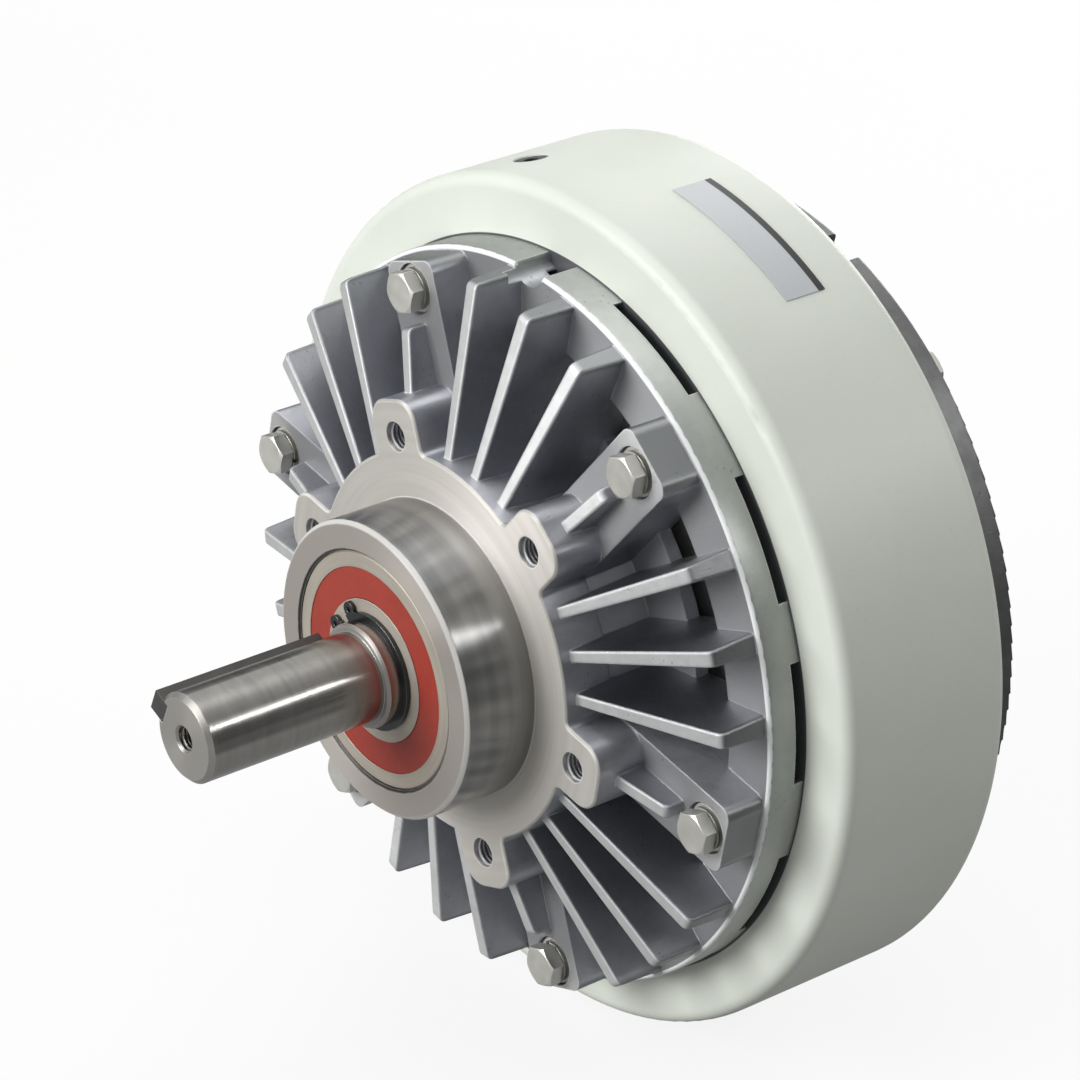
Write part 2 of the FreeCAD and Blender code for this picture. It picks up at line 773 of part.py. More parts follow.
def make_rotor_drum():
    bore = rotor_seat_radius + fit_clearance
    rim_inner = rotor_radius - rotor_rim_thickness
    rim_front = stator_middle - rotor_width / 2
    rim_rear = stator_middle + rotor_width / 2
    web_front = stator_middle - rotor_web_thickness / 2
    web_rear = stator_middle + rotor_web_thickness / 2
    profile = [(bore, rotor_hub_front), (rotor_hub_radius, rotor_hub_front)]
    profile += [(rotor_hub_radius, web_front), (rim_inner, web_front), (rim_inner, rim_front)]
    profile += [(rotor_radius, rim_front), (rotor_radius, rim_rear), (rim_inner, rim_rear)]
    profile += [(rim_inner, web_rear), (rotor_hub_radius, web_rear), (rotor_hub_radius, rotor_hub_rear)]
    profile += [(bore, rotor_hub_rear)]
    holes = around(rod(rotor_hole_radius, web_front, web_rear, rotor_hole_circle), rotor_hole_count)
    key_top = rotor_key_height - rotor_key_depth + hole_clearance
    slot = bar(rotor_key_width / 2, 0, rotor_seat_radius + key_top, rotor_hub_front, rotor_hub_rear)
    return revolve(profile).cut(holes + [turned(slot, output_key_angle)])


def make_rotor_spacer():
    return ring(journal_radius + assembly_clearance, shoulder_radius, rotor_hub_rear, rear_bearing_front)


def make_circlip(start):
    outer = groove_radius + circlip_width
    body = ring(groove_radius, outer, start, start + circlip_thickness)
    gap_half = math.radians(circlip_opening / 2)
    ear_circle = outer + circlip_ear_radius / 2
    gap = bar(groove_radius * math.sin(gap_half), 0, 2 * outer, start, start + circlip_thickness)
    body = body.cut(gap)
    ear_offset = math.degrees(math.asin(circlip_ear_radius / ear_circle)) + circlip_opening / 2
    for side in (-1, 1):
        ear = rod(circlip_ear_radius, start, start + circlip_thickness, ear_circle)
        eye = rod(circlip_ear_hole_radius, start, start + circlip_thickness, ear_circle)
        body = body.fuse(turned(ear, side * ear_offset)).cut(turned(eye, side * ear_offset))
    body = body.cut(rod(groove_radius, start, start + circlip_thickness)).removeSplitter()
    return turned(body, circlip_angle)


# Bearings
def race_groove(middle):
    return Part.makeTorus(ball_circle_radius, ball_radius + ball_clearance, V(0, middle, 0), AXIS)


def bearing_outer_ring(start):
    end = start + bearing_width
    edge = bearing_outer_radius - bearing_chamfer
    profile = [(seal_seat_radius, start), (edge, start), (bearing_outer_radius, start + bearing_chamfer)]
    profile += [(bearing_outer_radius, end - bearing_chamfer), (edge, end), (seal_seat_radius, end)]
    profile += [(seal_seat_radius, end - seal_seat_depth), (outer_race_radius, end - seal_seat_depth)]
    profile += [(outer_race_radius, start + seal_seat_depth), (seal_seat_radius, start + seal_seat_depth)]
    return revolve(profile).cut(race_groove((start + end) / 2))


def bearing_inner_ring(start):
    end = start + bearing_width
    bore = journal_radius + fit_clearance
    edge = bore + bearing_chamfer
    profile = [(edge, start), (inner_race_radius, start), (inner_race_radius, end)]
    profile += [(edge, end), (bore, end - bearing_chamfer), (bore, start + bearing_chamfer)]
    return revolve(profile).cut(race_groove((start + end) / 2))


def bearing_seals(start):
    inner = inner_race_radius + seal_clearance
    outer = seal_seat_radius - fit_clearance
    first = start + seal_recess
    last = start + bearing_width - seal_recess
    near = ring(inner, outer, first, first + seal_thickness)
    far = ring(inner, outer, last - seal_thickness, last)
    return group([near, far])


def bearing_balls(start):
    ball = Part.makeSphere(ball_radius, V(0, start + bearing_width / 2, ball_circle_radius))
    return group(around(ball, ball_count))


def bearing_cage(start):
    middle = start + bearing_width / 2
    inner = ball_circle_radius - cage_thickness / 2
    body = ring(inner, inner + cage_thickness, middle - cage_width / 2, middle + cage_width / 2)
    pocket = Part.makeSphere(ball_radius + cage_pocket_clearance, V(0, middle, ball_circle_radius))
    return body.cut(around(pocket, ball_count))


# Rear cover and fasteners
def make_rear_bearing_cover():
    end = rear_hub_face + cover_thickness
    lip_end = rear_bearing_rear + preload_washer_thickness
    lip = bearing_outer_radius - assembly_clearance
    cavity = bearing_outer_radius - cover_lip_width
    inside = rear_hub_face + cover_cavity_depth
    profile = [(0, inside), (cavity, inside), (cavity, lip_end), (lip, lip_end)]
    profile += [(lip, rear_hub_face), (cover_radius, rear_hub_face), (cover_radius, end - cover_chamfer)]
    profile += [(cover_radius - cover_chamfer, end), (0, end)]
    hole = rod(cover_screw_radius + hole_clearance / 2, rear_hub_face, end, cover_screw_circle)
    return revolve(profile).cut(around(hole, cover_screw_count))


def make_preload_washer():
    return ring(bearing_outer_radius - preload_washer_width, bearing_outer_radius - assembly_clearance,
                rear_bearing_rear, rear_bearing_rear + preload_washer_thickness)


def make_cover_screws():
    seat = rear_hub_face + cover_thickness
    tip = rear_hub_face - cover_screw_length + bolt_tap_margin
    shank = rod(cover_screw_radius - assembly_clearance, tip, seat, cover_screw_circle)
    head = rod(cover_screw_head_radius, seat, seat + cover_screw_head_height, cover_screw_circle)
    top = seat + cover_screw_head_height
    head = head.makeChamfer(assembly_clearance * 8, circle_edges(head, cover_screw_head_radius, top))
    socket = hexagon(cover_socket_width, top - cover_socket_depth, top, cover_screw_circle)
    screw = shank.fuse(head).removeSplitter().cut(socket)
    return group(around(screw, cover_screw_count))


def washer_stack(cap):
    plain_top = cap.seat + plain_washer_thickness
    return plain_top, plain_top + spring_washer_thickness


def plain_washers(cap):
    top = washer_stack(cap)[0]
    washer = cap.rod(plain_washer_radius, cap.seat, top, bolt_circle)
    washer = washer.cut(cap.rod(washer_hole_radius, cap.seat, top, bolt_circle))
    return group(around(washer, lug_count, lug_angle))


def spring_washers(cap):
    low, top = washer_stack(cap)
    washer = cap.rod(spring_washer_radius, low, top, bolt_circle)
    washer = washer.cut(cap.rod(washer_hole_radius, low, top, bolt_circle))
    split = cap.bar(spring_washer_gap / 2, bolt_circle - 2 * spring_washer_radius, bolt_circle, low, top)
    return group(around(washer.cut(split), lug_count, lug_angle))


def hex_bolts(cap):
    spring_top = washer_stack(cap)[1]
    head_bottom = spring_top + bolt_collar_height
    height = bolt_head_height - bolt_collar_height
    start, end = cap.span(head_bottom, head_bottom + height)
    blank = hexagon(bolt_across_flats, start, end, bolt_circle)
    bevel = Part.makeCone(bolt_face_radius + bolt_bevel_run * height, bolt_face_radius, height,
                          V(0, cap.y(head_bottom), bolt_circle), V(0, cap.outward, 0))
    collar = cap.rod(bolt_collar_radius, spring_top, head_bottom, bolt_circle)
    shank = cap.rod(bolt_radius - assembly_clearance, -bolt_engagement, spring_top, bolt_circle)
    bolt = blank.common(bevel).multiFuse([collar, shank]).removeSplitter()
    return group(around(bolt, lug_count, lug_angle))


def save(name, shape):
    if not shape.isValid() or shape.Volume <= 0:
        raise ValueError("unsound solid: " + name)
    shape.exportStep("parts/" + name + ".step")


def main():
    os.makedirs("parts", exist_ok=True)
    save("front_end_cap", make_front_end_cap())
    save("rear_end_cap", make_rear_end_cap())
    save("stator_housing", make_stator_housing())
    save("stator_rear_yoke", make_stator_rear_yoke())
    save("separator_ring", make_separator_ring())
    save("coil_bobbin", make_coil_bobbin())
    save("field_coil", make_field_coil())
    save("lead_grommet", make_lead_grommet())
    save("nameplate", make_nameplate())
    save("magnetic_powder", make_magnetic_powder())
    save("shaft", make_shaft())
    save("output_key", make_output_key())
    save("rotor_key", make_rotor_key())
    save("rotor_drum", make_rotor_drum())
    save("rotor_spacer", make_rotor_spacer())
    save("rear_bearing_cover", make_rear_bearing_cover())
    save("cover_screws", make_cover_screws())
    save("preload_washer", make_preload_washer())
    for end, face_y, outward in (("front", stator_front, -1), ("rear", stator_rear, 1)):
        save(end + "_chamber_plate", chamber_plate(face_y, outward))
        save(end + "_powder_seal", powder_seal(face_y, outward))
        save(end + "_plate_screws", plate_screws(face_y, outward))
    for end, cap in (("front", front_cap), ("rear", rear_cap)):
        save(end + "_bolts", hex_bolts(cap))
        save(end + "_spring_washers", spring_washers(cap))
        save(end + "_plain_washers", plain_washers(cap))
    for end, start in (("front", front_bearing_front), ("rear", rear_bearing_front)):
        save(end + "_bearing_outer_ring", bearing_outer_ring(start))
        save(end + "_bearing_inner_ring", bearing_inner_ring(start))
        save(end + "_bearing_seals", bearing_seals(start))
        save(end + "_bearing_balls", bearing_balls(start))
        save(end + "_bearing_cage", bearing_cage(start))
    save("front_circlip", make_circlip(front_bearing_front - circlip_thickness))
    save("rear_circlip", make_circlip(rear_bearing_rear))


main()
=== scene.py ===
import json
import math

import bpy
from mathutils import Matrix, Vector


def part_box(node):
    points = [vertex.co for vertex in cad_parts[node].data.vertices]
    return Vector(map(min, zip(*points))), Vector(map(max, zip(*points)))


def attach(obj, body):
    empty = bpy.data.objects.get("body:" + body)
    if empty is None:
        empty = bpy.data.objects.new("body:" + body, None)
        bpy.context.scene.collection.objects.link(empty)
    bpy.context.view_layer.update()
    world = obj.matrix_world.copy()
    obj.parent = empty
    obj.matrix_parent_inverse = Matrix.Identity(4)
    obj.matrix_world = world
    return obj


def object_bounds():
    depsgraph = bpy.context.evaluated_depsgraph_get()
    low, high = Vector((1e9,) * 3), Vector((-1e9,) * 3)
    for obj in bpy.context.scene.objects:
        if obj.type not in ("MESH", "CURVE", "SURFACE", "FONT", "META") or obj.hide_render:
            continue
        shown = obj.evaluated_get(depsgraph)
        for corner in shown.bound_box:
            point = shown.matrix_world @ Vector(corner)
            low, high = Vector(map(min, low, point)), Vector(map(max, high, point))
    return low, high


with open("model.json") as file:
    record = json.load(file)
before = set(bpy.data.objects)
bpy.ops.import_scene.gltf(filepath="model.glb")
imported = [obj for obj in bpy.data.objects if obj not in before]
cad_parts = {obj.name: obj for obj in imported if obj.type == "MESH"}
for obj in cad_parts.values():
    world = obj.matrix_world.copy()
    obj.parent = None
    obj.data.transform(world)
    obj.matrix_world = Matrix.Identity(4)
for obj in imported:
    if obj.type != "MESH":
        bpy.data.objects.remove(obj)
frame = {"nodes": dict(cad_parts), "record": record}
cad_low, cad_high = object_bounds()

# Magnetic powder brake. The shaft axis is Y and the output end points to -Y. All lengths are metres.
MM = 0.001
WHITE = (1.0, 1.0, 1.0, 1.0)

nodes = frame["nodes"]
mounts = {mount["name"]: mount["dims"] for mount in frame["record"]["mounts"]}
slot_of = {part["node"]: part["material_slot"] for part in frame["record"]["subparts"]}

# Places read from the frame
cap_low, cap_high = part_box("front_end_cap")
shaft_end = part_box("shaft")[0].y
plate_rear_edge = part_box("nameplate")[1].y
rim_radius = cap_high.x
nose_face = cap_low.y
spigot_radius = mounts["mounting_spigot"]["r_mm"] * MM

# Threads of the lug holes and of the shaft's centre hole
lug_angle = math.radians(41.5)
lug_count = mounts["mounting_holes"]["count"]
lug_circle = mounts["mounting_holes"]["pcd_mm"] * MM / 2
lug_hole_radius = mounts["mounting_holes"]["hole_r_mm"] * MM
lug_thread_pitch = 1.5 * MM
lug_thread_length = 18.0 * MM
lug_thread_start = 0.5 * MM
centre_hole_radius = mounts["shaft_thread"]["r_mm"] * MM
centre_thread_pitch = 1.25 * MM
centre_thread_length = 20.0 * MM
centre_thread_start = 1.0 * MM
thread_clearance = 0.02 * MM
thread_height_share = 0.55
thread_width_share = 0.86
thread_steps = 28

# Front cap: the fins' front edges lie on one cone, from the flange to the rim.
crest_root_radius = 63.6 * MM
crest_root_y = 4.2 * MM
crest_tip_radius = 122.5 * MM
crest_tip_y = 15.5 * MM
crest_slope = (crest_tip_y - crest_root_y) / (crest_tip_radius - crest_root_radius)
web_height = 14.0 * MM
rim_front = cap_high.y - web_height
bearing_seat_edge = 41.0 * MM
nose_chamfer = 1.2 * MM
chamfer_fade = 0.1 * MM

# Zones of the front cap. Each pair says where a zone starts to show and where it shows fully.
# Depths below the fins' front edges: the recesses darken with depth as painted shade, and near the edges a
# painted highlight can show
recess_depth = (1.0 * MM, 6.0 * MM)
crest_depth = (6.0 * MM, 3.0 * MM)
# Distances inwards from the rim's outside
rim_inside = (0.6 * MM, 1.6 * MM)
rim_wall = (4.5 * MM, 2.5 * MM)
rim_edge = (2.5 * MM, 1.8 * MM)
# The rim's front corner carries a painted highlight.
rim_corner_inner = (1.6 * MM, 1.1 * MM)
rim_corner_outer = (0.05 * MM, 0.2 * MM)
# Places along the shaft
rim_corner_depth = (rim_front + 1.5 * MM, rim_front + 1.2 * MM)
turned_zone = (0.9 * MM, 0.8 * MM)
spigot_zone = (-0.3 * MM, -0.6 * MM)
# The nose's chamfer carries a painted highlight.
chamfer_depth = (nose_face + nose_chamfer + chamfer_fade, nose_face + nose_chamfer - chamfer_fade)
# Distances from the shaft's axis
chamfer_radius = (spigot_radius - nose_chamfer - chamfer_fade, spigot_radius - nose_chamfer + chamfer_fade)
# Inside this radius the bearing seat is darkened as painted shade in the gap round the bearing.
bearing_gap_shade_zone = (bearing_seat_edge, bearing_seat_edge - 0.2 * MM)

# The stator's face is bare and dark behind the cap's rim, which also stands as painted shade in the vent
# slots, and the dark reaches just past the rim as a painted shade line at its foot. The nameplate has a dark
# band along its rear edge.
bare_face_and_seam_shade_zone = (rim_radius + 0.9 * MM, rim_radius + 0.5 * MM)
plate_band_zone = (plate_rear_edge - 2.7 * MM, plate_rear_edge - 2.5 * MM)
brush_fineness = 2600.0
brush_arc = 0.2
wire_pitch = 1.0 * MM

# Finishes: where a pattern starts to show and where it shows fully, and how strong each effect is
wide_fade = (0.3, 0.7)
narrow_fade = (0.35, 0.65)
end_face_fade = (0.3, 0.85)
bevel_fade = (0.99, 0.9)
groove_roughness = 0.05
end_roughness = 0.12
turned_end_dullness = 0.5
cap_end_dullness = 0.6
cap_anisotropy = 0.75
quarter_turn = 0.25
cap_skin_depth = 0.12 * MM
cap_groove_share = 0.12
cloud_strength = 0.25
pit_strength = 0.4
dust_strength = 0.15
turned_edge_strength = 0.7
chamfer_highlight_strength = 0.5

# Photograph's camera
camera_place = (1.012001, -0.752068, 0.670251)
camera_azimuth = math.radians(51.918)
camera_elevation = math.radians(26.626)
camera_lens = 148.03
camera_sensor = 36.0
camera_reach = (0.05, 50.0)

# Surround: its light on the object, and its brightness in polished metal, which rises towards the bright side
# and falls at the horizon
surround_light = 0.28
surround_reflected = (0.35, 0.78)
bright_side = (-0.8, 0.2, 0.57)
bright_side_fade = (-0.2, 0.9)
horizon_reflected = 0.14
horizon_fade = (0.34, 0.46)

# Floor: its glow as the camera sees it, and as polished metal shows it near the object and far to the right
floor_size = 14.0
floor_gap = 0.5 * MM
floor_camera_glow = 0.86
floor_reflected = (0.26, 0.04)
dark_floor_side = (0.84, 0.54, 0.0)
dark_floor_fade = (0.18, 0.32)

# Soft lamps: place, power in watts, width and height
lamps = {
    "key_lamp": ((-0.7, -2.3, 0.85), 55.0, 1.7, 1.7),
    "top_lamp": ((-0.2, 0.0, 2.3), 15.0, 1.6, 1.6),
    "back_lamp": ((-1.2, 2.2, 0.8), 30.0, 1.5, 1.5),
    "side_lamp": ((1.39, 1.16, 1.07), 7.0, 1.5, 0.08),
}


# Colours are written as they look, from 0 to 255, and turned into light values here.
def tint(red, green, blue):
    values = []
    for level in (red, green, blue):
        share = level / 255
        values.append(share / 12.92 if share <= 0.04045 else ((share + 0.055) / 1.055) ** 2.4)
    return (*values, 1.0)


def shade(colour, factor):
    return (*(min(level * factor, 1.0) for level in colour[:3]), 1.0)


# Node helpers. An input is a number, a colour or another node's output.
def give(tree, socket, value):
    if isinstance(value, bpy.types.NodeSocket):
        tree.links.new(value, socket)
    else:
        socket.default_value = value


def put(tree, kind, inputs=None, **settings):
    made = tree.nodes.new(kind)
    for name, value in settings.items():
        setattr(made, name, value)
    for name, value in (inputs or {}).items():
        give(tree, made.inputs[name], value)
    return made


def calc(tree, operation, *values, clamp=False):
    made = put(tree, "ShaderNodeMath", operation=operation, use_clamp=clamp)
    for index, value in enumerate(values):
        give(tree, made.inputs[index], value)
    return made.outputs[0]


def product(tree, *masks):
    result = masks[0]
    for mask in masks[1:]:
        result = calc(tree, "MULTIPLY", result, mask)
    return result


# A Mix node has sockets for every kind of value, so those of the kind in use are picked by number.
def blend_colour(tree, factor, first, second):
    made = put(tree, "ShaderNodeMix", data_type="RGBA")
    for index, value in zip((0, 6, 7), (factor, first, second)):
        give(tree, made.inputs[index], value)
    return made.outputs[2]


def blend_value(tree, factor, first, second):
    made = put(tree, "ShaderNodeMix", data_type="FLOAT")
    for index, value in zip((0, 2, 3), (factor, first, second)):
        give(tree, made.inputs[index], value)
    return made.outputs[0]


# Softly from one result to another, while the value goes from its start to its end
def spread(tree, value, start, end, first=0.0, last=1.0):
    made = put(tree, "ShaderNodeMapRange", interpolation_type="SMOOTHSTEP")
    for index, entry in enumerate((value, start, end, first, last)):
        give(tree, made.inputs[index], entry)
    return made.outputs[0]


def noise(tree, vector, scale, detail=3.0, roughness=0.55):
    made = put(tree, "ShaderNodeTexNoise",
               {"Vector": vector, "Scale": scale, "Detail": detail, "Roughness": roughness})
    return made.outputs[0]


def dot(tree, first, second):
    made = put(tree, "ShaderNodeVectorMath", {0: first, 1: second}, operation="DOT_PRODUCT")
    return made.outputs["Value"]


def vector_of(tree, **parts):
    return put(tree, "ShaderNodeCombineXYZ", parts).outputs[0]


def bump(tree, height, depth, normal):
    return put(tree, "ShaderNodeBump", {"Height": height, "Distance": depth, "Normal": normal}).outputs[0]


def place(tree):
    return put(tree, "ShaderNodeTexCoord").outputs["Object"]


def parts_of(tree, vector):
    return put(tree, "ShaderNodeSeparateXYZ", {"Vector": vector}).outputs


# Distance from the shaft's axis
def shaft_distance(tree, vector):
    parts = parts_of(tree, vector)
    squares = [product(tree, parts[name], parts[name]) for name in ("X", "Z")]
    return calc(tree, "SQRT", calc(tree, "ADD", *squares))


def along_shaft(tree, vector):
    return parts_of(tree, vector)["Y"]


# Angle round the shaft's axis
def shaft_turn(tree, vector):
    parts = parts_of(tree, vector)
    return calc(tree, "ARCTAN2", parts["X"], parts["Z"])


# One on surfaces that look along the shaft, nought on the sides
def end_faces(tree):
    normal = put(tree, "ShaderNodeTexCoord").outputs["Normal"]
    return spread(tree, calc(tree, "ABSOLUTE", along_shaft(tree, normal)), *end_face_fade)


# Shared effects
def new_group(name, inputs, outputs):
    tree = bpy.data.node_groups.new(name, "ShaderNodeTree")
    for label, kind, value in inputs:
        socket = tree.interface.new_socket(name=label, in_out="INPUT", socket_type=kind)
        if value is not None:
            socket.default_value = value
    for label, kind in outputs:
        tree.interface.new_socket(name=label, in_out="OUTPUT", socket_type=kind)
    return tree, tree.nodes.new("NodeGroupInput").outputs, tree.nodes.new("NodeGroupOutput").inputs


def use(tree, group, **inputs):
    return put(tree, "ShaderNodeGroup", inputs, node_tree=group).outputs


# Rings of fine and coarse grooves from a lathe, with streaks that change round the axis
def make_turned_grooves():
    tree, given, result = new_group(
        "turned grooves",
        [("Vector", "NodeSocketVector", None), ("Fineness", "NodeSocketFloat", 2400.0),
         ("Streaks", "NodeSocketFloat", 0.5)],
        [("Height", "NodeSocketFloat"), ("Tone", "NodeSocketFloat")])
    coarse_share = 0.16
    streak_arc = 0.004
    radius = shaft_distance(tree, given["Vector"])
    along = along_shaft(tree, given["Vector"])
    ring_place = vector_of(tree, X=radius, Y=along)
    fine = noise(tree, ring_place, given["Fineness"], 2.0)
    coarse_scale = calc(tree, "MULTIPLY", given["Fineness"], coarse_share)
    coarse = noise(tree, ring_place, coarse_scale, 2.0)
    arc = calc(tree, "MULTIPLY", shaft_turn(tree, given["Vector"]), streak_arc)
    streak = noise(tree, vector_of(tree, X=radius, Y=along, Z=arc), coarse_scale, 1.0)
    give(tree, result["Height"], blend_value(tree, 0.35, fine, coarse))
    give(tree, result["Tone"], blend_value(tree, given["Streaks"], coarse, streak))
    return tree


# Grain, clouds and small pits of a cast or coated skin
def make_cast_skin():
    tree, given, result = new_group(
        "cast skin",
        [("Vector", "NodeSocketVector", None), ("Grain", "NodeSocketFloat", 1300.0)],
        [("Height", "NodeSocketFloat"), ("Tone", "NodeSocketFloat"), ("Pits", "NodeSocketFloat")])
    middle_share, broad_share, pit_share = 0.22, 0.03, 0.3
    vector, grain = given["Vector"], given["Grain"]
    fine = noise(tree, vector, grain, 3.0, 0.6)
    middle = noise(tree, vector, calc(tree, "MULTIPLY", grain, middle_share), 2.0)
    broad = noise(tree, vector, calc(tree, "MULTIPLY", grain, broad_share), 3.0)
    cells = put(tree, "ShaderNodeTexVoronoi",
                {"Vector": vector, "Scale": calc(tree, "MULTIPLY", grain, pit_share)})
    pits = spread(tree, cells.outputs["Distance"], 0.05, 0.22, 1.0, 0.0)
    pits = product(tree, pits, spread(tree, broad, 0.5, 0.62))
    rough = blend_value(tree, 0.4, fine, middle)
    give(tree, result["Height"], calc(tree, "SUBTRACT", rough, calc(tree, "MULTIPLY", pits, 0.5)))
    give(tree, result["Tone"], blend_value(tree, 0.45, broad, middle))
    give(tree, result["Pits"], pits)
    return tree


# Edges, from how far the normal of a rounded edge departs from the face's own. The finishes lighten them
# partly as wear and partly as a painted highlight.
def make_edge_wear_and_highlight():
    tree, given, result = new_group(
        "edge wear and highlight",
        [("Radius", "NodeSocketFloat", 0.0005), ("Vector", "NodeSocketVector", None)],
        [("Mask", "NodeSocketFloat"), ("Normal", "NodeSocketVector")])
    patch_scale = 240.0
    rounded = put(tree, "ShaderNodeBevel", {"Radius": given["Radius"]}, samples=6).outputs[0]
    straight = put(tree, "ShaderNodeNewGeometry").outputs["Normal"]
    edge = spread(tree, dot(tree, rounded, straight), *bevel_fade)
    patchy = spread(tree, noise(tree, given["Vector"], patch_scale, 2.0), 0.3, 0.6, 0.55, 1.0)
    give(tree, result["Mask"], product(tree, edge, patchy))
    give(tree, result["Normal"], rounded)
    return tree


# Smudges from hands and fine dust
def make_handling_marks():
    tree, given, result = new_group(
        "handling marks",
        [("Vector", "NodeSocketVector", None), ("Size", "NodeSocketFloat", 30.0)],
        [("Smudge", "NodeSocketFloat"), ("Dust", "NodeSocketFloat")])
    speck_share = 40.0
    specks = noise(tree, given["Vector"], calc(tree, "MULTIPLY", given["Size"], speck_share), 2.0)
    give(tree, result["Smudge"], noise(tree, given["Vector"], given["Size"], 4.0, 0.6))
    give(tree, result["Dust"], spread(tree, specks, 0.62, 0.74))
    return tree


turned_grooves = make_turned_grooves()
cast_skin = make_cast_skin()
edge_wear_and_highlight = make_edge_wear_and_highlight()
handling_marks = make_handling_marks()


# Finishes
# A new material, its tree of nodes and the inputs of its shader
def new_finish(name):
    material = bpy.data.materials.new(name)
    material.use_nodes = True
    tree = material.node_tree
    tree.nodes.clear()
    shader = tree.nodes.new("ShaderNodeBsdfPrincipled")
    output = tree.nodes.new("ShaderNodeOutputMaterial")
    tree.links.new(shader.outputs[0], output.inputs[0])
    return material, tree, shader.inputs


def smudged(tree, marks, smooth, rough):
    return spread(tree, marks["Smudge"], *wide_fade, smooth, rough)


# A colour that wanders between a darker and a lighter tone of itself
def toned(tree, tone, colour, contrast):
    return blend_colour(tree, spread(tree, tone, *narrow_fade), shade(colour, 1 - contrast),
                        shade(colour, 1 + contrast))


# Grooves round the shaft draw a highlight out along it.
def drawn_out(tree, shader, amount):
    shader["Anisotropic"].default_value = amount
    shader["Anisotropic Rotation"].default_value = quarter_turn
    around_axis = put(tree, "ShaderNodeTangent", direction_type="RADIAL", axis="Y").outputs[0]
    give(tree, shader["Tangent"], around_axis)


def turned_metal(name, colour, roughness, fineness=2400.0, groove=0.02 * MM, contrast=0.12, wear_and_highlight=1.25,
                 edge=0.4 * MM, anisotropy=0.0, end_colour=None):
    material, tree, shader = new_finish(name)
    here = place(tree)
    grooves = use(tree, turned_grooves, Vector=here, Fineness=fineness)
    marks = use(tree, handling_marks, Vector=here, Size=35.0)
    rounded_edges = use(tree, edge_wear_and_highlight, Radius=edge, Vector=here)
    ends = end_faces(tree)
    body = toned(tree, grooves["Tone"], colour, contrast)
    if end_colour:
        body = blend_colour(tree, ends, body, end_colour)
    give(tree, shader["Base Color"], blend_colour(tree, rounded_edges["Mask"], body, shade(colour, wear_and_highlight)))
    rough = calc(tree, "MULTIPLY_ADD", grooves["Tone"], groove_roughness,
                 smudged(tree, marks, roughness - 0.05, roughness + 0.07))
    give(tree, shader["Roughness"], calc(tree, "MULTIPLY_ADD", ends, end_roughness, rough))
    give(tree, shader["Metallic"], calc(tree, "MULTIPLY_ADD", ends, -turned_end_dullness, 1.0))
    if anisotropy:
        drawn_out(tree, shader, anisotropy)
    give(tree, shader["Normal"], bump(tree, grooves["Height"], groove, rounded_edges["Normal"]))
    return material


def plain_metal(name, colour, roughness, grain=900.0, depth=0.01 * MM, wear_and_highlight=1.3, edge=0.3 * MM,
                end_dullness=0.4):
    material, tree, shader = new_finish(name)
    here = place(tree)
    skin = use(tree, cast_skin, Vector=here, Grain=grain)
    marks = use(tree, handling_marks, Vector=here, Size=60.0)
    rounded_edges = use(tree, edge_wear_and_highlight, Radius=edge, Vector=here)
    body = toned(tree, skin["Tone"], colour, 0.1)
    give(tree, shader["Base Color"], blend_colour(tree, rounded_edges["Mask"], body, shade(colour, wear_and_highlight)))
    give(tree, shader["Roughness"], smudged(tree, marks, roughness - 0.06, roughness + 0.08))
    give(tree, shader["Metallic"], calc(tree, "MULTIPLY_ADD", end_faces(tree), -end_dullness, 1.0))
    give(tree, shader["Normal"], bump(tree, skin["Height"], depth, rounded_edges["Normal"]))
    return material


def soft_finish(name, colour, roughness, grain=1500.0, depth=0.02 * MM, contrast=0.12, sheen=0.0):
    material, tree, shader = new_finish(name)
    here = place(tree)
    skin = use(tree, cast_skin, Vector=here, Grain=grain)
    marks = use(tree, handling_marks, Vector=here, Size=50.0)
    rounded_edges = use(tree, edge_wear_and_highlight, Radius=0.3 * MM, Vector=here)
    body = toned(tree, skin["Tone"], colour, contrast)
    dust = calc(tree, "MULTIPLY", marks["Dust"], dust_strength)
    give(tree, shader["Base Color"], blend_colour(tree, dust, body, tint(190, 188, 182)))
    give(tree, shader["Roughness"], smudged(tree, marks, roughness - 0.06, roughness + 0.06))
    shader["Sheen Weight"].default_value = sheen
    give(tree, shader["Normal"], bump(tree, skin["Height"], depth, rounded_edges["Normal"]))
    return material


# Each zone of the front cap as a mask, from its distance from the shaft and its place along it
def cap_zones(tree, here):
    radius = shaft_distance(tree, here)
    along = along_shaft(tree, here)
    inwards = calc(tree, "SUBTRACT", rim_radius, radius)
    past_root = calc(tree, "SUBTRACT", radius, crest_root_radius)
    crest = calc(tree, "MULTIPLY_ADD", past_root, crest_slope, crest_root_y)
    below_crest = calc(tree, "SUBTRACT", along, crest)
    return {
        "recess": spread(tree, below_crest, *recess_depth),
        "crest": calc(tree, "MAXIMUM", spread(tree, below_crest, *crest_depth),
                      spread(tree, inwards, *rim_edge)),
        "inside rim": spread(tree, inwards, *rim_inside),
        "rim wall": spread(tree, inwards, *rim_wall),
        "rim corner": product(tree, spread(tree, inwards, *rim_corner_inner),
                              spread(tree, inwards, *rim_corner_outer),
                              spread(tree, along, *rim_corner_depth)),
        "turned": spread(tree, along, *turned_zone),
        "spigot": spread(tree, along, *spigot_zone),
        "chamfer": product(tree, spread(tree, along, *chamfer_depth), spread(tree, radius, *chamfer_radius)),
        "bearing gap shade": spread(tree, radius, *bearing_gap_shade_zone),
    }
